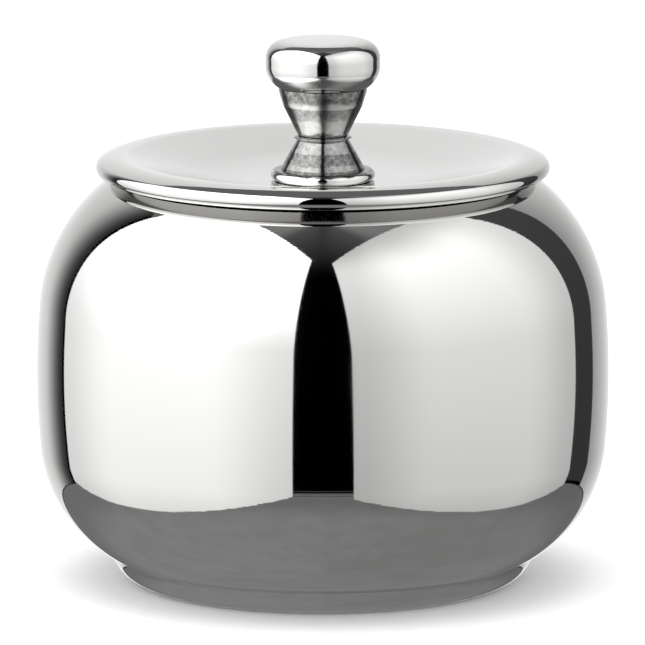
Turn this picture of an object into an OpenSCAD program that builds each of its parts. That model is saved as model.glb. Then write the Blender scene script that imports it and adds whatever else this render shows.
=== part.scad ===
// Lidded sugar bowl in polished sheet steel with a cast knob.
// Millimetres, +Z up. The origin is the centre of the foot, on the table.
// Every piece is a turned shape about the Z axis, so each one is a radius and height outline.

/* [Bowl] */
// Outside diameter at the widest point
bowl_d = 96; // [94:0.5:98]
// Height of the underside of the floor above the table
floor_z = 1.25; // [1:0.05:1.6]
// Radius of the almost upright side
side_r = 137.4; // [125:0.2:150]
// Radius of the shoulder above the side
shoulder_r = 29.16; // [28.6:0.02:29.6]
// Radius of the heel below the side
heel_r = 23.69; // [23:0.01:24.4]
// Angle of the side arc above the widest point
shoulder_turn = 4.93; // [4.6:0.01:5.2]
// Angle of the side arc below the widest point
heel_turn = 5.04; // [4.6:0.01:5.4]
// Radius of the mouth at the outer face
mouth_r = 33.3; // [33.2:0.05:33.8]
// Thickness of the spun wall
wall = 0.8; // [0.6:0.05:0.9]
// Radius of the raised panel in the floor of the bowl
panel_r = 19; // [15:0.5:21]
// Height of the raised panel
panel_rise = 0.9; // [0.5:0.1:1.2]

/* [Foot] */
// Outside diameter of the foot ring
foot_d = 71.3; // [70:0.1:72]
// Radius of the rounded foot edge
foot_edge_r = 5.5; // [5:0.05:6]
// Radius of the hole inside the foot ring
foot_hole_r = 25.6; // [24.5:0.1:27]

/* [Lid] */
// Outside diameter of the lid
lid_d = 76; // [75.6:0.05:76.4]
// Clearance between the turned-in lip and the shoulder of the bowl
lid_gap = 0.2; // [0.1:0.01:0.3]
// Radius of the upper half of the lid edge
nose_r = 1.46; // [1.4:0.01:1.5]
// Radius of the lower half of the lid edge
curl_r = 1.25; // [1.1:0.01:1.4]
// Width of the straight lip turned in under the edge
lip_w = 1.7; // [1.5:0.05:1.8]
// Radius of the corner between the edge and the rim
corner_r = 0.9; // [0.8:0.05:1.2]
// Radius of the rounded rim on top of the lid
crown_r = 7.75; // [7.4:0.05:8]
// Thickness of the lid sheet
sheet = 0.7; // [0.5:0.05:0.72]
// Depth of the flat middle of the dished top below the edge
dish_depth = 2.15; // [2:0.05:2.4]
// Radius of the flat middle of the dished top
dish_flat_r = 9.2; // [9:0.1:11]
// Slope of the dished top from its middle up to the rim
dish_slope = 14; // [13:0.1:15.5]
// Outside radius of the locating skirt
skirt_r = 32.4; // [31.8:0.05:32.5]
// Depth of the lower edge of the skirt below the edge
skirt_depth = 7.35; // [6.5:0.05:8.5]

/* [Knob] */
// Diameter of the knob head
knob_d = 19.27; // [18.6:0.01:20]
// Radius of the upper corner of the knob head
knob_corner_r = 2.93; // [2.7:0.01:3.1]
// Radius of the brow between the upper corner and the crown
knob_brow_r = 6.85; // [6:0.05:7.5]
// Radius of the underside corner of the knob head
knob_under_r = 4.28; // [4.2:0.01:4.4]
// Outside radius of the thin ring at the waist
waist_r = 4.85; // [4.6:0.05:5]
// Outside radius of the round flange at the foot of the knob
flange_r = 8.75; // [8.5:0.05:9]
// Diameter of the screw that holds the knob
screw_d = 4; // [3.5:0.1:4]

/* [Hidden] */
$fn = 96;

// Steps of an arc, in degrees
fine_step = 2.5;
side_step = 1.7;

// Bowl arcs: centres of the side, the shoulder and the heel, above the floor
belly_z = floor_z + heel_r + (side_r - heel_r) * sin(heel_turn);
side_c = [bowl_d / 2 - side_r, belly_z];
shoulder_c = side_c + (side_r - shoulder_r) * [cos(shoulder_turn), sin(shoulder_turn)];
heel_c = side_c + (side_r - heel_r) * [cos(heel_turn), -sin(heel_turn)];
mouth_turn = acos((mouth_r - shoulder_c[0]) / shoulder_r);
panel_slope_w = 1.2;

// Foot ring: centre of the rounded edge
foot_c = [foot_d / 2 - foot_edge_r, foot_edge_r];
foot_sheet = 0.8;
foot_lip_top = 3;

// Lid arcs. The end of the lip stands lid_gap off the shoulder, and the rest follows from it.
corner_turn = 46;
crown_turn = 62.5;
curl_turn = 5;
curl_end = 77;
lip_step = -lip_w * [sin(curl_end), cos(curl_end)];
lip_reach = curl_r * [cos(curl_end), -sin(curl_end)] + lip_step;
lip_r = lid_d / 2 - curl_r + lip_reach[0];
lip_z = shoulder_c[1] + sqrt(pow(shoulder_r + lid_gap, 2) - pow(lip_r - shoulder_c[0], 2));
curl_c = [lip_r, lip_z] - lip_reach;
nose_c = curl_c - (nose_r - curl_r) * [cos(curl_turn), sin(curl_turn)];
nose_z = nose_c[1];
dish_z = nose_z - dish_depth;
skirt_z = nose_z - skirt_depth;
corner_c = nose_c + (nose_r - corner_r) * [cos(corner_turn), sin(corner_turn)];
crown_c = corner_c - (crown_r - corner_r) * [cos(crown_turn), sin(crown_turn)];
dish_start = crown_c + crown_r * [-sin(dish_slope), cos(dish_slope)];
dish_fold_r = dish_start[0] - (dish_start[1] - dish_z) / tan(dish_slope);
dish_r = (dish_fold_r - dish_flat_r) / tan(dish_slope / 2);
dish_c = [dish_flat_r, dish_z + dish_r];

// Skirt: a wall, and a flange that lies against the slope of the lid
skirt_sheet = 0.7;
skirt_flange_r = 28.5;

// Knob: radii, and heights above the flat middle of the lid
pedestal_top_z = dish_z + 6.9;
waist_h = 0.6;
head_foot_z = pedestal_top_z + waist_h;
head_foot_r = 4.2;
break_z = dish_z + 12.65;
break_r = 6.7;
neck_z = dish_z + 14.65;
neck_r = 7.3;
head_under_c = [knob_d / 2 - knob_under_r, dish_z + 19.3];
head_corner_c = [knob_d / 2 - knob_corner_r, dish_z + 20.55];
head_under_turn = 59.8;
head_brow_turn = 75;
head_crown_turn = 88.5;
head_brow_c = head_corner_c - (knob_brow_r - knob_corner_r)
    * [cos(head_brow_turn), sin(head_brow_turn)];
head_crown = head_brow_c + knob_brow_r * [cos(head_crown_turn), sin(head_crown_turn)];
knob_crown_r = head_crown[0] / cos(head_crown_turn);
knob_crown_c = [0, head_crown[1] - knob_crown_r * sin(head_crown_turn)];
flange_tube_r = 0.88;
flange_c = [flange_r - flange_tube_r, dish_z + flange_tube_r];
pedestal_foot_r = 7.05;
pedestal_break = [6.2, dish_z + 3.45];
pedestal_top_r = 4.3;

// Fastening stack under the lid
screw_clear = 0.15;
screw_r = screw_d / 2;
tap_z = dish_z + 15.35;
lid_under_z = dish_z - sheet;
washer_h = 0.8;
washer_r = 4.5;
lock_h = 1;
lock_r = 3.4;
lock_gap = 0.9;
head_h = 2.4;
head_r = 3.5;
slot_w = 1;
slot_depth = 1;
stack_z = lid_under_z - washer_h - lock_h;

// Points of an arc about c, from angle a to angle b
function arc(c, r, a, b, step = fine_step) =
    let (n = max(2, ceil(abs(b - a) / step)))
    [for (i = [0:n]) c + r * [cos(a + (b - a) * i / n), sin(a + (b - a) * i / n)]];

// Outline of the bowl wall, drawn t inside its outer face, from the axis to the mouth
function bowl_line(t) = concat(
    [
        [0, floor_z + panel_rise + t],
        [panel_r, floor_z + panel_rise + t],
        [panel_r + panel_slope_w, floor_z + t]
    ],
    arc(heel_c, heel_r - t, -90, -heel_turn),
    arc(side_c, side_r - t, -heel_turn, shoulder_turn, side_step),
    arc(shoulder_c, shoulder_r - t, shoulder_turn, mouth_turn)
);

// Outline of the lid's dish and rim, drawn t below its upper face, from the axis outwards
function dish_line(t) = concat(
    [[0, dish_z - t]],
    arc(dish_c, dish_r + t, -90, dish_slope - 90, 1.6),
    arc(crown_c, crown_r - t, dish_slope + 90, crown_turn)
);

// Outline of the whole lid sheet, drawn t inside its outer face, to the end of the lip
function lid_line(t) = concat(
    dish_line(t),
    arc(corner_c, corner_r - t, crown_turn, corner_turn, 6),
    arc(nose_c, nose_r - t, corner_turn, curl_turn, 7),
    arc(curl_c, curl_r - t, curl_turn, -curl_end, 7),
    [curl_c + (curl_r - t) * [cos(curl_end), -sin(curl_end)] + lip_step]
);

function reversed(points) = [for (i = [len(points) - 1:-1:0]) points[i]];

// Height of the straight slope of the dish at radius r, t below its upper face
function slope_at(r, t) =
    dish_start[1] - t / cos(dish_slope) - (dish_start[0] - r) * tan(dish_slope);

module turned(points) {
    rotate_extrude() polygon(points);
}

// One-piece spun bowl with a raised panel in its floor and an open mouth
module bowl_shell() {
    color("silver") turned(concat(bowl_line(0), reversed(bowl_line(wall))));
}

// Pressed ring welded under the bowl. Its upper edges are cut to the bowl's own curve.
module foot_ring() {
    color("silver") rotate_extrude() difference() {
        polygon(concat(
            [[foot_hole_r, foot_lip_top], [foot_hole_r, 0]],
            arc(foot_c, foot_edge_r, -90, 0),
            arc(foot_c, foot_edge_r - foot_sheet, 0, -90),
            [[foot_hole_r + foot_sheet, foot_sheet], [foot_hole_r + foot_sheet, foot_lip_top]]
        ));
        polygon(concat(bowl_line(0), [[0, belly_z * 2]]));
    }
}

// Stamped lid: dished top, rounded rim and a rolled edge with a lip turned in under it
module lid_plate() {
    color("silver") difference() {
        turned(concat(lid_line(0), reversed(lid_line(sheet))));
        translate([0, 0, lid_under_z - 1]) cylinder(h = sheet + 2, r = screw_r + screw_clear);
    }
}

// Ring welded under the lid, which keeps it centred in the mouth. A flange follows the dish.
module lid_skirt() {
    inner = skirt_r - skirt_sheet;
    flange_t = sheet + skirt_sheet;
    color("silver") rotate_extrude() difference() {
        polygon([
            [inner, skirt_z],
            [skirt_r, skirt_z],
            [skirt_r, nose_z + 3],
            [skirt_flange_r, nose_z + 3],
            [skirt_flange_r, slope_at(skirt_flange_r, flange_t)],
            [inner, slope_at(inner, flange_t)]
        ]);
        polygon(concat(dish_line(sheet), [[lid_d, nose_z], [lid_d, nose_z * 2], [0, nose_z * 2]]));
    }
}

// Cast knob: polished head on a stem of two tapers, tapped from below
module knob_head() {
    color("lightgray") difference() {
        turned(concat(
            [[0, head_foot_z], [head_foot_r - 0.5, head_foot_z]],
            arc([head_foot_r - 0.35, head_foot_z + 0.5], 0.5, -90, -25, 15),
            [[break_r, break_z], [neck_r, neck_z]],
            arc(head_under_c, knob_under_r, -head_under_turn, 0),
            arc(head_corner_c, knob_corner_r, 0, head_brow_turn),
            arc(head_brow_c, knob_brow_r, head_brow_turn, head_crown_turn),
            arc(knob_crown_c, knob_crown_r, head_crown_turn, 90)
        ));
        translate([0, 0, head_foot_z - 1]) cylinder(h = tap_z - head_foot_z + 1, r = screw_r);
    }
}

// Thin ring with a fine edge, clamped between the two castings
module waist_ring() {
    inner = screw_r + screw_clear;
    shoulder = waist_r - 0.5;
    color("lightgray") turned([
        [inner, pedestal_top_z],
        [shoulder, pedestal_top_z],
        [waist_r, pedestal_top_z + waist_h / 3],
        [waist_r, pedestal_top_z + waist_h * 2 / 3],
        [shoulder, head_foot_z],
        [inner, head_foot_z]
    ]);
}

// Cast pedestal: a flared cone on a round flange
module knob_pedestal() {
    inner = screw_r + screw_clear;
    color("lightgray") turned(concat(
        [[inner, dish_z]],
        arc(flange_c, flange_tube_r, -90, 90, 12),
        [
            [pedestal_foot_r, flange_c[1] + flange_tube_r],
            pedestal_break,
            [pedestal_top_r, pedestal_top_z],
            [inner, pedestal_top_z]
        ]
    ));
}

// Slotted screw driven up through the lid into the knob head
module knob_screw() {
    running = 0.03;
    color("silver") difference() {
        union() {
            translate([0, 0, stack_z]) cylinder(h = tap_z - 0.5 - stack_z, r = screw_r - running);
            turned(concat(
                [[0, stack_z - head_h], [head_r - 1, stack_z - head_h]],
                arc([head_r - 1, stack_z - head_h + 1], 1, -90, 0, 15),
                [[head_r, stack_z], [0, stack_z]]
            ));
        }
        translate([-head_r - 1, -slot_w / 2, stack_z - head_h - 1])
            cube([2 * head_r + 2, slot_w, slot_depth + 1]);
    }
}

module flat_washer() {
    color("silver") turned([
        [screw_r + screw_clear, lid_under_z - washer_h],
        [washer_r, lid_under_z - washer_h],
        [washer_r, lid_under_z],
        [screw_r + screw_clear, lid_under_z]
    ]);
}

// Split spring washer, pressed flat
module lock_washer() {
    color("gray") difference() {
        turned([
            [screw_r + screw_clear, stack_z],
            [lock_r, stack_z],
            [lock_r, stack_z + lock_h],
            [screw_r + screw_clear, stack_z + lock_h]
        ]);
        translate([0, -lock_gap / 2, stack_z - 1]) cube([lock_r + 1, lock_gap, lock_h + 2]);
    }
}

bowl_shell();
foot_ring();
lid_plate();
lid_skirt();
knob_head();
waist_ring();
knob_pedestal();
knob_screw();
flat_washer();
lock_washer();
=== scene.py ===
"""Polished steel sugar bowl: high-resolution turned pieces, procedural metals and a small studio."""
import math

import bpy
import mathutils
import numpy as np
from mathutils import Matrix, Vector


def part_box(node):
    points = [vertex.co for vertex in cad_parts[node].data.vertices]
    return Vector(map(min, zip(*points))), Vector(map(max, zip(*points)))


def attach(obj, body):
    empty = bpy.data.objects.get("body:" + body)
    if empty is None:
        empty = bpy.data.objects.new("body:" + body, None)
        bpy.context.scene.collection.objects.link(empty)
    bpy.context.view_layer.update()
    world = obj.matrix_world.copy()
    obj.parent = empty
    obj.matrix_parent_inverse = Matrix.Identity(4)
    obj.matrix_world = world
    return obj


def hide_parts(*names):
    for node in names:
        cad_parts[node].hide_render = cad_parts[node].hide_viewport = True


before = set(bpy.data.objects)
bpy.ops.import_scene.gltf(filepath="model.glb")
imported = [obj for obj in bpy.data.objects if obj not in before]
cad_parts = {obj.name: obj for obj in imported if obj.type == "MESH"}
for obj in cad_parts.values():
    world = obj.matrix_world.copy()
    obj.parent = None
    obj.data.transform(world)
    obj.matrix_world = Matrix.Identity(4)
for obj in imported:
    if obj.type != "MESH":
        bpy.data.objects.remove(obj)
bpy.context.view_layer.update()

MM = 0.001


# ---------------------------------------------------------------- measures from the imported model
def high(node):
    """Level of the top of a CAD node, in millimetres."""
    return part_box(node)[1].z / MM


def low(node):
    """Level of the bottom of a CAD node, in millimetres."""
    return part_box(node)[0].z / MM


def least(node):
    """Smallest reach of a turned CAD node from the axis, in millimetres."""
    lo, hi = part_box(node)
    return min(-lo.x, -lo.y, hi.x, hi.y) / MM


HAIR = 0.004  # turned pieces stay this far inside the CAD box
belly_r = least("bowl_shell") - HAIR
foot_r = least("foot_ring") - HAIR
foot_z = low("foot_ring")
floor_z = low("bowl_shell")
lid_r = least("lid_plate") - HAIR
dish_z = low("knob_pedestal")
knob_r = least("knob_head") - HAIR
head_foot = low("knob_head")
waist_r = least("waist_ring") - HAIR
flange_r = least("knob_pedestal") - HAIR
pedestal_top = high("knob_pedestal")
skirt_r = least("lid_skirt") - HAIR
skirt_z = low("lid_skirt")


# ---------------------------------------------------------------- outlines
def deg(a):
    return math.radians(a)


def unit(a):
    """Unit vector at angle a, in degrees."""
    return np.array([math.cos(deg(a)), math.sin(deg(a))])


def arc(c, r, a, b, step):
    """Points of an arc about c from angle a to angle b, at most step degrees apart."""
    n = max(2, int(math.ceil(abs(b - a) / step)))
    return [np.array(c) + r * unit(a + (b - a) * i / n) for i in range(n + 1)]


def join(*parts):
    """One outline from several, without doubled points."""
    out = []
    for p in parts:
        for q in p:
            q = np.array(q, float)
            if not out or np.hypot(*(q - out[-1])) > 1e-4:
                out.append(q)
    return out


def line(a, b, n):
    """A straight line from a to b in n steps, which keeps its faces short."""
    a, b = np.array(a, float), np.array(b, float)
    return [a + (b - a) * i / n for i in range(n + 1)]


# Bowl
WALL, SIDE_R, SHOULDER_R, HEEL_R, MOUTH_R = 0.8, 137.4, 29.16, 23.69, 33.3
SHOULDER_TURN, HEEL_TURN, PANEL_R, PANEL_RISE = 4.93, 5.04, 19.0, 0.9
PANEL_INSET, PANEL_SLOPE_W, PANEL_FILLET = 0.4, 1.2, 0.5
belly_z = floor_z + HEEL_R + (SIDE_R - HEEL_R) * math.sin(deg(HEEL_TURN))
side_c = np.array([belly_r - SIDE_R, belly_z])
shoulder_c = side_c + (SIDE_R - SHOULDER_R) * unit(SHOULDER_TURN)
heel_c = side_c + (SIDE_R - HEEL_R) * unit(-HEEL_TURN)
mouth_turn = math.degrees(math.acos((MOUTH_R - shoulder_c[0]) / SHOULDER_R))


def bowl_line(t):
    """The bowl's wall, drawn t inside its outer face, from the axis to the mouth."""
    base = heel_c[1] - HEEL_R + t
    panel_edge = PANEL_R - PANEL_INSET
    panel_top = base + PANEL_RISE
    return join(
        line([0, panel_top], [panel_edge, panel_top], 6),
        arc([panel_edge, panel_top - PANEL_FILLET], PANEL_FILLET, 90, 40, 10),
        arc([PANEL_R + PANEL_SLOPE_W, base + PANEL_FILLET], PANEL_FILLET, 220, 270, 10),
        arc(heel_c, HEEL_R - t, -90, -HEEL_TURN, 1.0),
        arc(side_c, SIDE_R - t, -HEEL_TURN, SHOULDER_TURN, 0.35),
        arc(shoulder_c, SHOULDER_R - t, SHOULDER_TURN, mouth_turn, 1.0),
    )


# Foot
FOOT_EDGE_R, FOOT_SHEET, FOOT_HOLE_R, FOOT_LIP_R = 5.5, 0.8, 25.6, 0.25
FOOT_INSET = 0.005
foot_c = np.array([foot_r - FOOT_EDGE_R, foot_z + FOOT_EDGE_R])


def shell_under(r):
    """Height of the bowl's outer face at radius r, below the belly."""
    if r < heel_c[0]:
        return heel_c[1] - HEEL_R
    return heel_c[1] - math.sqrt(HEEL_R ** 2 - (r - heel_c[0]) ** 2)


def cut_to_shell(points):
    """The points that lie below the bowl."""
    return [p for p in points if p[1] < shell_under(p[0]) - 1e-6]


outer_edge = cut_to_shell(arc(foot_c, FOOT_EDGE_R, -90, 0, 1.5))
inner_edge = cut_to_shell(arc(foot_c, FOOT_EDGE_R - FOOT_SHEET, 0, -90, 1.5))
outer_meet = np.array([foot_r - FOOT_INSET, shell_under(foot_r - FOOT_INSET)])
inner_r = inner_edge[0][0] + 4 * FOOT_INSET
inner_meet = np.array([inner_r, shell_under(inner_r)])
foot_line = join(
    [[FOOT_HOLE_R, shell_under(FOOT_HOLE_R)], [FOOT_HOLE_R, foot_z + FOOT_LIP_R]],
    arc([FOOT_HOLE_R + FOOT_LIP_R, foot_z + FOOT_LIP_R], FOOT_LIP_R, 180, 270, 30),
    outer_edge,
    [outer_meet],
    line(outer_meet, inner_meet, 3),
    inner_edge,
    [[FOOT_HOLE_R + FOOT_SHEET, foot_z + FOOT_SHEET]],
    [[FOOT_HOLE_R + FOOT_SHEET, shell_under(FOOT_HOLE_R + FOOT_SHEET)]],
    [[FOOT_HOLE_R, shell_under(FOOT_HOLE_R)]],
)

# Lid
BORE_R = 2.15  # hole for the knob screw
SHEET, NOSE_R, CURL_R, CORNER_R, CROWN_R, LIP_W = 0.7, 1.46, 1.25, 0.9, 7.75, 1.7
DISH_DEPTH, DISH_FLAT_R, DISH_SLOPE, LIP_CELLS = 2.15, 9.2, 14, 4
CORNER_TURN, CROWN_TURN, CURL_TURN, CURL_END = 46, 62.5, 5, 77
curl_c = np.array([lid_r - CURL_R, dish_z + DISH_DEPTH + (NOSE_R - CURL_R) * math.sin(deg(CURL_TURN))])
nose_c = curl_c - (NOSE_R - CURL_R) * unit(CURL_TURN)
corner_c = nose_c + (NOSE_R - CORNER_R) * unit(CORNER_TURN)
crown_c = corner_c - (CROWN_R - CORNER_R) * unit(CROWN_TURN)
dish_start = crown_c + CROWN_R * unit(DISH_SLOPE + 90)
dish_fold_r = dish_start[0] - (dish_start[1] - dish_z) / math.tan(deg(DISH_SLOPE))
dish_r = (dish_fold_r - DISH_FLAT_R) / math.tan(deg(DISH_SLOPE / 2))
dish_c = np.array([DISH_FLAT_R, dish_z + dish_r])


def dish_line(t):
    """The lid's dish and rounded rim, drawn t below its upper face, from the bore outwards."""
    slope_foot = dish_c + (dish_r + t) * unit(DISH_SLOPE - 90)
    slope_head = crown_c + (CROWN_R - t) * unit(DISH_SLOPE + 90)
    return join(
        line([BORE_R, dish_z - t], [dish_c[0], dish_z - t], 5),
        arc(dish_c, dish_r + t, -90, DISH_SLOPE - 90, 0.4),
        line(slope_foot, slope_head, 8),
        arc(crown_c, CROWN_R - t, DISH_SLOPE + 90, CROWN_TURN, 1.0),
    )


def lid_line(t):
    """The whole lid sheet, drawn t inside its outer face, to the end of the lip."""
    lip_start = curl_c + (CURL_R - t) * unit(-CURL_END)
    return join(
        dish_line(t),
        arc(corner_c, CORNER_R - t, CROWN_TURN, CORNER_TURN, 2),
        arc(nose_c, NOSE_R - t, CORNER_TURN, CURL_TURN, 3),
        arc(curl_c, CURL_R - t, CURL_TURN, -CURL_END, 3),
        line(lip_start, lip_start + LIP_W * unit(-90 - CURL_END), LIP_CELLS),
    )


def slope_at(r, t):
    """Level of the straight slope of the dish at radius r, t below its upper face."""
    slope = deg(DISH_SLOPE)
    return dish_start[1] - t / math.cos(slope) - (dish_start[0] - r) * math.tan(slope)


SKIRT_FLANGE_R, SKIRT_HEM_R = 28.5, 0.3
inner = skirt_r - SHEET
skirt_top = [p for p in dish_line(SHEET) if SKIRT_FLANGE_R < p[0] < skirt_r][::-1]
skirt_line = join(
    arc([inner + SKIRT_HEM_R, skirt_z + SKIRT_HEM_R], SKIRT_HEM_R, 180, 270, 30),
    arc([skirt_r - SKIRT_HEM_R, skirt_z + SKIRT_HEM_R], SKIRT_HEM_R, 270, 360, 30),
    [[skirt_r, skirt_top[0][1]]],
    skirt_top,
    [[SKIRT_FLANGE_R, slope_at(SKIRT_FLANGE_R, SHEET)]],
    [[SKIRT_FLANGE_R, slope_at(SKIRT_FLANGE_R, 2 * SHEET)]],
    [[inner, slope_at(inner, 2 * SHEET)], [inner, skirt_z + SKIRT_HEM_R]],
)

# Knob
KNOB_CORNER, KNOB_BROW, KNOB_UNDER = 2.93, 6.85, 4.28
BROW_TURN, TOP_TURN, UNDER_TURN, TAP_R, TAP_Z = 75, 88.5, 59.8, 2.0, dish_z + 15.35
BREAK, NECK = (6.7, dish_z + 12.65), (7.3, dish_z + 14.65)
HEAD_FLAT_R, HEAD_FILLET = 3.85, 0.5
head_under_c = np.array([knob_r - KNOB_UNDER, dish_z + 19.3])
head_corner_c = np.array([knob_r - KNOB_CORNER, dish_z + 20.55])
head_brow_c = head_corner_c - (KNOB_BROW - KNOB_CORNER) * unit(BROW_TURN)
crown_edge = head_brow_c + KNOB_BROW * unit(TOP_TURN)
head_crown_r = crown_edge[0] / math.cos(deg(TOP_TURN))
head_crown_c = np.array([0, crown_edge[1] - head_crown_r * math.sin(deg(TOP_TURN))])
fillet_c = np.array([HEAD_FLAT_R, head_foot + HEAD_FILLET])
head_line = join(
    line([TAP_R, head_foot], [HEAD_FLAT_R, head_foot], 3),
    arc(fillet_c, HEAD_FILLET, -90, -25, 8),
    line(fillet_c + HEAD_FILLET * unit(-25), BREAK, 26),
    line(BREAK, NECK, 12),
    arc(head_under_c, KNOB_UNDER, -UNDER_TURN, 0, 2),
    arc(head_corner_c, KNOB_CORNER, 0, BROW_TURN, 2),
    arc(head_brow_c, KNOB_BROW, BROW_TURN, TOP_TURN, 1),
    arc(head_crown_c, head_crown_r, TOP_TURN, 90, 0.25),
)
head_bore = [[0, TAP_Z], [TAP_R, TAP_Z], [TAP_R, head_foot]]

FLANGE_TUBE = 0.88
PEDESTAL_FOOT_R, PEDESTAL_TOP_R = 7.05, 4.3
pedestal_break = [6.2, dish_z + 3.45]
flange_c = np.array([flange_r - FLANGE_TUBE, dish_z + FLANGE_TUBE])
pedestal_line = join(
    [[BORE_R, dish_z]],
    arc(flange_c, FLANGE_TUBE, -90, 90, 6),
    line([PEDESTAL_FOOT_R, dish_z + 2 * FLANGE_TUBE], pedestal_break, 6),
    line(pedestal_break, [PEDESTAL_TOP_R, pedestal_top], 14),
    line([PEDESTAL_TOP_R, pedestal_top], [BORE_R, pedestal_top], 3),
)
RING_BEVEL, RING_EDGE_R = 0.5, 0.1
ring_shoulder = waist_r - RING_BEVEL
ring_line = join(
    [[BORE_R, pedestal_top], [ring_shoulder, pedestal_top]],
    arc([waist_r - RING_EDGE_R, (pedestal_top + head_foot) / 2], RING_EDGE_R, -60, 60, 15),
    [[ring_shoulder, head_foot], [BORE_R, head_foot], [BORE_R, pedestal_top]],
)


# ---------------------------------------------------------------- meshes
TURNS = 256


def lathe(name, outline, finishes, closed=False):
    """A mesh turned about Z from an outline of (r, z) in millimetres, outer side on the right.

    finishes lists (first outline point, material), in order along the outline."""
    verts, faces, rings = [], [], []
    for r, z in outline:
        if r < 1e-6:
            rings.append([len(verts)])
            verts.append((0.0, 0.0, z * MM))
            continue
        ring = []
        for k in range(TURNS):
            a = 2 * math.pi * k / TURNS
            ring.append(len(verts))
            verts.append((r * math.cos(a) * MM, r * math.sin(a) * MM, z * MM))
        rings.append(ring)
    pairs = list(zip(rings[:-1], rings[1:]))
    if closed:
        pairs.append((rings[-1], rings[0]))
    slots = []
    for i, (lo, hi) in enumerate(pairs):
        if len(lo) == 1 and len(hi) == 1:
            continue
        slots += [sum(i >= start for start, _ in finishes) - 1] * TURNS
        for k in range(TURNS):
            j = (k + 1) % TURNS
            if len(lo) == 1:
                faces.append((lo[0], hi[j], hi[k]))
            elif len(hi) == 1:
                faces.append((lo[k], lo[j], hi[0]))
            else:
                faces.append((lo[k], lo[j], hi[j], hi[k]))
    mesh = bpy.data.meshes.new(name)
    mesh.from_pydata(verts, [], faces)
    for _, mat in finishes:
        mesh.materials.append(mat)
    mesh.polygons.foreach_set("material_index", slots)
    mesh.update()
    mesh.shade_smooth()
    mesh.set_sharp_from_angle(angle=deg(24))
    obj = bpy.data.objects.new(name, mesh)
    bpy.context.scene.collection.objects.link(obj)
    return obj


# ---------------------------------------------------------------- materials
def new_material(name):
    """A new material with its node tree and its Principled shader."""
    mat = bpy.data.materials.new(name)
    mat.use_nodes = True
    tree = mat.node_tree
    return mat, tree, tree.nodes["Principled BSDF"]


def node(tree, kind, **inputs):
    """A new node. Each keyword sets the input of that name, or else the property of that name."""
    n = tree.nodes.new(kind)
    for key, value in inputs.items():
        if key in n.inputs:
            n.inputs[key].default_value = value
        else:
            setattr(n, key, value)
    return n


def polished(name, color, rough, lines, haze):
    """Buffed sheet steel: faint turning lines and patchy haze on a mirror."""
    mat, tree, bsdf = new_material(name)
    bsdf.inputs["Base Color"].default_value = (*color, 1)
    bsdf.inputs["Metallic"].default_value = 1
    coord = node(tree, "ShaderNodeTexCoord")
    wipe = node(tree, "ShaderNodeTexNoise", Scale=38.0, Detail=4.0, Roughness=0.6)
    ramp = node(tree, "ShaderNodeMapRange")
    ramp.inputs["From Min"].default_value = 0.35
    ramp.inputs["From Max"].default_value = 0.75
    ramp.inputs["To Min"].default_value = rough
    ramp.inputs["To Max"].default_value = rough + haze
    tree.links.new(coord.outputs["Object"], wipe.inputs["Vector"])
    tree.links.new(wipe.outputs["Fac"], ramp.inputs["Value"])
    tree.links.new(ramp.outputs["Result"], bsdf.inputs["Roughness"])
    split = node(tree, "ShaderNodeSeparateXYZ")
    rad = node(tree, "ShaderNodeVectorMath", operation="LENGTH")
    flat = node(tree, "ShaderNodeVectorMath", operation="MULTIPLY")
    flat.inputs[1].default_value = (1, 1, 0)
    pack = node(tree, "ShaderNodeCombineXYZ")
    fine = node(tree, "ShaderNodeTexNoise", Scale=2600.0, Detail=2.0, Roughness=0.6)
    bump = node(tree, "ShaderNodeBump", Strength=lines, Distance=0.00002)
    tree.links.new(coord.outputs["Object"], split.inputs["Vector"])
    tree.links.new(coord.outputs["Object"], flat.inputs[0])
    tree.links.new(flat.outputs["Vector"], rad.inputs[0])
    tree.links.new(rad.outputs["Value"], pack.inputs["X"])
    tree.links.new(split.outputs["Z"], pack.inputs["Z"])
    tree.links.new(pack.outputs["Vector"], fine.inputs["Vector"])
    tree.links.new(fine.outputs["Fac"], bump.inputs["Height"])
    tree.links.new(bump.outputs["Normal"], bsdf.inputs["Normal"])
    return mat


RAGGED = 1.4  # how far, in millimetres, the lower edge of a band of painted shade wanders


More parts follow.
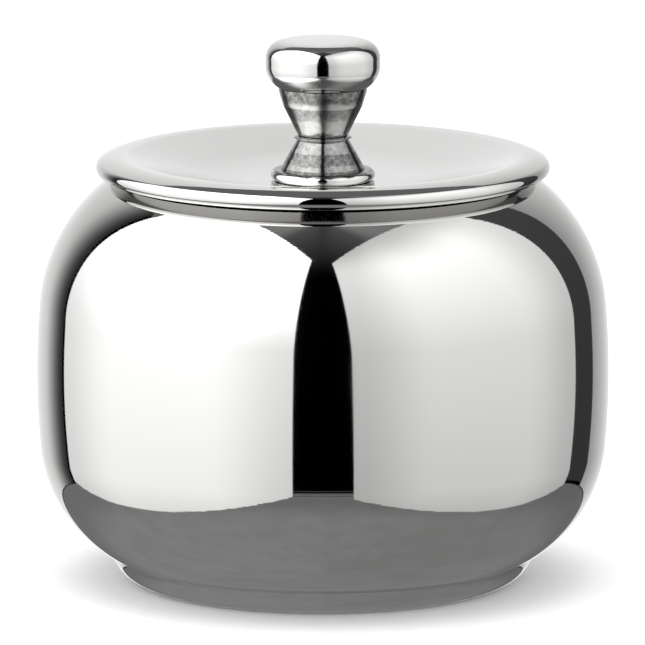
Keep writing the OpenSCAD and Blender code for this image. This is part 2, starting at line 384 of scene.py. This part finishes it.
def cast(name, color, rough, shade_and_dull_zones):
    """Buffed casting. Bands at some levels are darkened as painted shade, and there it is also a little
    rougher and pitted.

    shade_and_dull_zones lists (top, bottom, soft, amount): the levels between which a band of painted
    shade lies, how gradually its lower edge fades, all in millimetres, and how dark it is."""
    mat, tree, bsdf = new_material(name)
    bsdf.inputs["Metallic"].default_value = 1
    coord = node(tree, "ShaderNodeTexCoord")
    pits = node(tree, "ShaderNodeTexNoise", Scale=1250.0, Detail=5.0, Roughness=0.6)
    patches = node(tree, "ShaderNodeTexNoise", Scale=330.0, Detail=3.0, Roughness=0.55)
    split = node(tree, "ShaderNodeSeparateXYZ")
    for n in (pits, patches, split):
        tree.links.new(coord.outputs["Object"], n.inputs["Vector"])
    ragged = node(tree, "ShaderNodeMath", operation="MULTIPLY_ADD")
    ragged.inputs[1].default_value = RAGGED * MM
    tree.links.new(patches.outputs["Fac"], ragged.inputs[0])
    tree.links.new(split.outputs["Z"], ragged.inputs[2])
    # This mask darkens the colour as painted shade, and also raises the roughness and the pits' bump.
    shade_and_dull = None
    for top, bottom, soft, amount in shade_and_dull_zones:
        fade = node(tree, "ShaderNodeMapRange", interpolation_type="SMOOTHSTEP")
        fade.inputs["From Min"].default_value = (bottom + RAGGED / 2 - soft / 2) * MM
        fade.inputs["From Max"].default_value = (bottom + RAGGED / 2 + soft / 2) * MM
        fade.inputs["To Max"].default_value = amount
        edge = node(tree, "ShaderNodeMath", operation="LESS_THAN")
        edge.inputs[1].default_value = top * MM
        zone = node(tree, "ShaderNodeMath", operation="MULTIPLY")
        tree.links.new(ragged.outputs["Value"], fade.inputs["Value"])
        tree.links.new(split.outputs["Z"], edge.inputs[0])
        tree.links.new(fade.outputs["Result"], zone.inputs[0])
        tree.links.new(edge.outputs["Value"], zone.inputs[1])
        if shade_and_dull is None:
            shade_and_dull = zone
        else:
            both = node(tree, "ShaderNodeMath", operation="MAXIMUM")
            tree.links.new(shade_and_dull.outputs["Value"], both.inputs[0])
            tree.links.new(zone.outputs["Value"], both.inputs[1])
            shade_and_dull = both
    speckle = node(tree, "ShaderNodeMapRange")
    speckle.inputs["From Min"].default_value = 0.3
    speckle.inputs["From Max"].default_value = 0.7
    speckle.inputs["To Min"].default_value = 0.8
    speckle.inputs["To Max"].default_value = 1.24
    tree.links.new(pits.outputs["Fac"], speckle.inputs["Value"])
    # Painted shade: inside the bands the base colour is darkened, mottled by the pits.
    dark = node(tree, "ShaderNodeMath", operation="MULTIPLY", use_clamp=True)
    tree.links.new(shade_and_dull.outputs["Value"], dark.inputs[0])
    tree.links.new(speckle.outputs["Result"], dark.inputs[1])
    tone = node(tree, "ShaderNodeMix", data_type="RGBA")
    tone.inputs["A"].default_value = (*color, 1)
    tone.inputs["B"].default_value = (*(c * 0.14 for c in color), 1)
    tree.links.new(dark.outputs["Value"], tone.inputs["Factor"])
    tree.links.new(tone.outputs["Result"], bsdf.inputs["Base Color"])
    gloss = node(tree, "ShaderNodeMapRange")
    gloss.inputs["To Min"].default_value = rough
    gloss.inputs["To Max"].default_value = rough + 0.06
    tree.links.new(shade_and_dull.outputs["Value"], gloss.inputs["Value"])
    tree.links.new(gloss.outputs["Result"], bsdf.inputs["Roughness"])
    relief = node(tree, "ShaderNodeMapRange")
    relief.inputs["To Min"].default_value = 0.06
    relief.inputs["To Max"].default_value = 0.5
    tree.links.new(shade_and_dull.outputs["Value"], relief.inputs["Value"])
    bump = node(tree, "ShaderNodeBump", Distance=0.00005)
    tree.links.new(relief.outputs["Result"], bump.inputs["Strength"])
    tree.links.new(pits.outputs["Fac"], bump.inputs["Height"])
    tree.links.new(bump.outputs["Normal"], bsdf.inputs["Normal"])
    return mat


STEEL = (0.76, 0.755, 0.745)
mirror_mat = polished("polished_steel", STEEL, 0.025, 0.12, 0.03)
dish_mat = polished("dish_satin_steel", (0.785, 0.782, 0.775), 0.16, 0.04, 0.05)
# Painted shade: the lid's lip and underside get the same steel in a much darker colour.
shaded_under_mat = polished("underside_steel_painted_shade", (0.44, 0.437, 0.43), 0.07, 0.3, 0.05)
satin_mat = polished("satin_steel", (0.7, 0.695, 0.685), 0.2, 0.8, 0.1)
# Painted shade on the knob's stem under its head, darkest at the neck and round the break.
cast_mat = cast(
    "cast_steel", STEEL, 0.075,
    [
        (NECK[1] + 1.1, head_foot - 1, 0.1, 0.46),
        (NECK[1] + 1.1, NECK[1] - 1.5, 1.8, 0.86),
        (BREAK[1], BREAK[1] - 2.3, 1.5, 0.75),
    ],
)
# Painted shade on the pedestal under the knob, darkest low down at its flange by the lid.
pedestal_mat = cast(
    "pedestal_steel", STEEL, 0.075,
    [
        (pedestal_top + 1, dish_z + 1.9, 0.2, 0.68),
        (dish_z + 4.9, dish_z + 2.7, 1.0, 0.88),
        (dish_z + 2.2, dish_z + 1.5, 0.3, 0.95),
    ],
)
# Painted shade over the whole waist ring, between the head and the pedestal.
waist_mat = cast("waist_steel", STEEL, 0.1, [(head_foot + 1, pedestal_top - 1, 0.1, 0.66)])
screw_mat = polished("screw_steel", (0.62, 0.62, 0.61), 0.25, 0.5, 0.1)

# ---------------------------------------------------------------- pieces
shell_outer = bowl_line(0)
shell_finishes = [(0, mirror_mat), (len(shell_outer), satin_mat)]
shell = lathe("bowl_shell_spun", join(shell_outer, bowl_line(WALL)[::-1]), shell_finishes)
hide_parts("bowl_shell")
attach(shell, "bowl")

foot = lathe("foot_ring_pressed", foot_line, [(0, mirror_mat)])
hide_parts("foot_ring")
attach(foot, "bowl")

lid_outer = lid_line(0)
rim_from = sum(p[0] < crown_c[0] - 0.5 for p in lid_outer)
lip_from = len(lid_outer) - 1 - LIP_CELLS
lid_finishes = [(0, dish_mat), (rim_from, mirror_mat), (lip_from, shaded_under_mat)]
lid = lathe("lid_plate_stamped", join(lid_outer, lid_line(SHEET)[::-1]), lid_finishes, closed=True)
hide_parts("lid_plate")
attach(lid, "lid")

skirt = lathe("lid_skirt_rolled", skirt_line, [(0, satin_mat)], closed=True)
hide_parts("lid_skirt")
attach(skirt, "lid")

head = lathe("knob_head_cast", join(head_bore, head_line), [(0, cast_mat)])
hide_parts("knob_head")
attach(head, "lid")

ring = lathe("waist_ring_fine", ring_line, [(0, waist_mat)])
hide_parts("waist_ring")
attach(ring, "lid")

pedestal = lathe("knob_pedestal_cast", pedestal_line, [(0, pedestal_mat)], closed=True)
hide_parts("knob_pedestal")
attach(pedestal, "lid")

for name in ("knob_screw", "flat_washer", "lock_washer"):
    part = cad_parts[name]
    part.data.materials.clear()
    part.data.materials.append(screw_mat)


# ---------------------------------------------------------------- studio
def stage_mesh(name, verts, faces, mat, reflection_only=True):
    """A mesh that belongs to the studio. A panel is seen only in reflections."""
    mesh = bpy.data.meshes.new(name)
    mesh.from_pydata([tuple(c * MM for c in v) for v in verts], [], faces)
    mesh.update()
    obj = bpy.data.objects.new(name, mesh)
    obj.data.materials.append(mat)
    bpy.context.scene.collection.objects.link(obj)
    if reflection_only:
        obj.visible_camera = False
        obj.visible_diffuse = False
        obj.visible_transmission = False
        obj.visible_shadow = False
    return obj


floor_mat, _, floor_bsdf = new_material("pale_floor")
floor_bsdf.inputs["Base Color"].default_value = (0.93, 0.93, 0.93, 1)
floor_bsdf.inputs["Roughness"].default_value = 0.9
floor_bsdf.inputs["Specular IOR Level"].default_value = 0
FLOOR_Z, FLOOR_REACH = -0.02, 4000  # just under the foot, so that the two faces do not coincide
floor_signs = ((-1, -1), (1, -1), (1, 1), (-1, 1))
floor_corners = [(FLOOR_REACH * x, FLOOR_REACH * y, FLOOR_Z) for x, y in floor_signs]
stage_floor = stage_mesh("floor", floor_corners, [(0, 1, 2, 3)], floor_mat, False)
stage_floor.visible_glossy = False


def glow_material(name):
    """Light that follows the mesh's own glow attribute."""
    mat = bpy.data.materials.new(name)
    mat.use_nodes = True
    tree = mat.node_tree
    tree.nodes.clear()
    out = tree.nodes.new("ShaderNodeOutputMaterial")
    emit = tree.nodes.new("ShaderNodeEmission")
    attr = tree.nodes.new("ShaderNodeAttribute")
    attr.attribute_name = "glow"
    tree.links.new(attr.outputs["Fac"], emit.inputs["Strength"])
    tree.links.new(emit.outputs["Emission"], out.inputs["Surface"])
    return mat


def panel(name, place, light, nu, nv):
    """A grid of nu by nv cells. place(u, v) gives a point in millimetres and light(u, v) its glow."""
    verts = [place(i / nu, j / nv) for j in range(nv + 1) for i in range(nu + 1)]
    faces = []
    for j in range(nv):
        for i in range(nu):
            k = j * (nu + 1) + i
            faces.append((k, k + 1, k + nu + 2, k + nu + 1))
    obj = stage_mesh(name, verts, faces, glow_material(name + "_light"))
    glow = obj.data.attributes.new("glow", "FLOAT", "POINT")
    glow.data.foreach_set("value", [light(i / nu, j / nv) for j in range(nv + 1) for i in range(nu + 1)])
    return obj


def smooth(a, b, x):
    """Soft step from 0 at a to 1 at b."""
    t = min(1, max(0, (x - a) / (b - a)))
    return t * t * (3 - 2 * t)


def noise_grid(az, el):
    """Soft noise between -1 and 1 over the directions round the bowl."""
    return 1.6 * mathutils.noise.noise((6 * math.cos(deg(az)), 6 * math.sin(deg(az)), 0.16 * el))


EYE_Z = 40  # level on the bowl's axis from which azimuths and elevations are counted


def sighting(x, y, z):
    """Azimuth and elevation, in degrees, at which the bowl sees a point."""
    return math.degrees(math.atan2(x, -y)), math.degrees(math.atan2(z - EYE_Z, math.hypot(x, y)))


BOX_D, BOX_FOOT = 600, -0.70  # distance of a softbox, and its foot in units of that distance


def softbox(name, mid_az, outer, inner_low, inner_high, top, light):
    """A flat softbox square to azimuth mid_az.

    outer is the azimuth of its outer edge. Its inner edge leans, so it has one azimuth at its
    foot and one at its head. top is the level of its head in units of its distance."""
    e0, e1, e2 = (math.tan(deg(a - mid_az)) for a in (outer, inner_low, inner_high))

    def place(u, v):
        inner_edge_s = e1 + (e2 - e1) * v
        s = BOX_D * (e0 + (inner_edge_s - e0) * u)
        z = EYE_Z + BOX_D * (BOX_FOOT + (top - BOX_FOOT) * v)
        c, d = math.cos(deg(mid_az)), math.sin(deg(mid_az))
        return (BOX_D * d + s * c, -BOX_D * c + s * d, z)

    return panel(name, place, lambda u, v: light(*sighting(*place(u, v))), 40, 60)


def ring_panel(name, az0, az1, el0, el1, light, nu, nv, dist=3000):
    """Part of a sphere round the bowl, between two azimuths and two elevations."""
    def place(u, v):
        az, el = deg(az0 + (az1 - az0) * u), deg(el0 + (el1 - el0) * v)
        level = dist * math.cos(el)
        return (level * math.sin(az), -level * math.cos(az), EYE_Z + dist * math.sin(el))

    def glow(u, v):
        return light(az0 + (az1 - az0) * u, el0 + (el1 - el0) * v)

    return panel(name, place, glow, nu, nv)


def left_light(az, el):
    """Strong light, easing off towards its lower and side edges."""
    across = 1 - 0.28 * smooth(20, 58, abs(az + 68))
    return across * (1.13 + 0.013 * (el + 20) + 0.5 * smooth(0, 30, el))


def right_light(az, el):
    """Fill light, brightest about 45 degrees up."""
    across = 1 - 0.28 * smooth(20, 54, abs(az - 66))
    return across * (0.93 + 0.009 * min(el, 45) - 0.65 * smooth(50, 72, el))


def table_light(az, el):
    """Grey cloth, darker where it nears the bowl's own level, with a soft mottle."""
    mottle = 1 + 0.05 * noise_grid(az, el)
    return mottle * (0.165 + 0.075 * smooth(-23, -42, el) - 0.018 * math.sin(deg(az)))


def backdrop_light(az, el):
    """Paper lit from in front, falling away to the sides and sooner on the left."""
    behind = abs(az - 180)
    level = 1 - 0.14 * smooth(-5, 15, el)
    if az < 180:
        return level * (1.05 - 0.0162 * behind)
    return level * (1.05 - 0.011 * behind) * (1 - smooth(30, 52, behind)) + 0.03


def ceiling_light(az, el):
    """Almost dark, a little lighter towards the sides and even at the back."""
    side = abs(math.sin(deg(az)))
    if math.cos(deg(az)) < -0.6:
        return 0.14
    return smooth(48, 84, el) * (0.05 + 0.07 * side) + 0.12 * smooth(0.6, 0.95, side) * smooth(55, 70, el)


def screen_light(az, el):
    """A dark screen beside the backdrop, the same at every azimuth."""
    return 0.045 + 0.0004 * el


softbox("softbox_left", -68, -125.6, -12.2, -7.5, 3.6, left_light)
softbox("softbox_right", 64.5, 120.2, 12.6, 6.0, 3.1, right_light)
ring_panel("table_seen_in_metal", 0, 360, -90, -21, table_light, 180, 40)
ring_panel("backdrop_paper", 138, 232, -21, 42.5, backdrop_light, 60, 24, 1500)
ring_panel("screen_right", 121, 139.5, -20, 62, screen_light, 4, 8, 2000)
ring_panel("ceiling_dim", 0, 360, 42, 90, ceiling_light, 96, 24)

# The room's own light falls on the floor and is not seen in the metal
world = bpy.data.worlds.new("studio_air")
bpy.context.scene.world = world
world.use_nodes = True
background = world.node_tree.nodes["Background"]
background.inputs["Color"].default_value = (1, 1, 1, 1)
background.inputs["Strength"].default_value = 1.4
world.cycles_visibility.glossy = False

key = bpy.data.lights.new("overhead_softbox", "AREA")
key.energy = 6
key.size = 1.2
key_obj = bpy.data.objects.new("overhead_softbox", key)
key_obj.location = (-0.2, -0.2, 1.4)
key_obj.rotation_euler = (deg(-8), deg(-8), 0)
key_obj.visible_glossy = False
bpy.context.scene.collection.objects.link(key_obj)

CAMERA_PLACE, CAMERA_TILT, LENS = (-0.00006, -1.67235, 0.34543), 10.2408, 565.81
cam_data = bpy.data.cameras.new("camera")
cam_data.sensor_width = 36
cam_data.lens = LENS
cam_data.clip_end = 20
cam = bpy.data.objects.new("camera", cam_data)
cam.location = CAMERA_PLACE
cam.rotation_euler = (deg(90 - CAMERA_TILT), 0, 0)
bpy.context.scene.collection.objects.link(cam)
bpy.context.scene.camera = cam
bpy.context.scene.view_settings.view_transform = "Standard"
